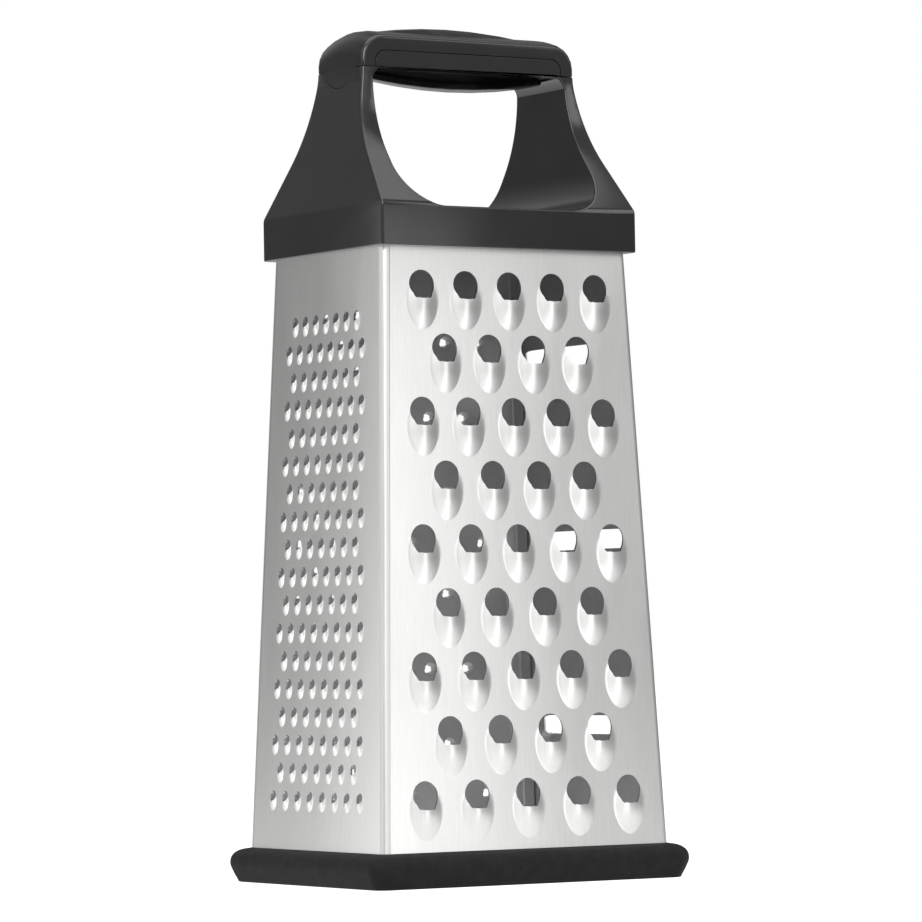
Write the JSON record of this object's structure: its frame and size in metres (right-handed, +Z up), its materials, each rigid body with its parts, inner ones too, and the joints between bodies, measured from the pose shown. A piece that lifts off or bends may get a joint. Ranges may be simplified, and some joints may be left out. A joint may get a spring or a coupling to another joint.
{
  "type": "box grater",
  "caption": "Kitchen box grater: a tapered steel sleeve with coarse, fine, rasp and slicing sides, a moulded loop handle and a rubber foot ring.",
  "frame": {"origin": "centre of the foot, on the surface that the grater stands on", "axes": "+Z up through the handle, -Y out of the coarse side, -X out of the fine side, +Y out of the rasp side and +X out of the slicing side"},
  "size_m": [0.1048, 0.0852, 0.2413],
  "materials": {
    "stainless_sheet": "satin rolled stainless sheet with sharp punched teeth",
    "boot_rubber": "matt moulded rubber",
    "handle_plastic": "smooth moulded plastic with a soft gloss"
  },
  "bodies": {
    "root": {"coarse_panel": "stainless_sheet", "fine_panel": "stainless_sheet", "rasp_panel": "stainless_sheet", "slicer_panel": "stainless_sheet", "rubber_boot": "boot_rubber", "handle_frame": "handle_plastic", "handle_cover": "handle_plastic"}
  },
  "joints": []
}
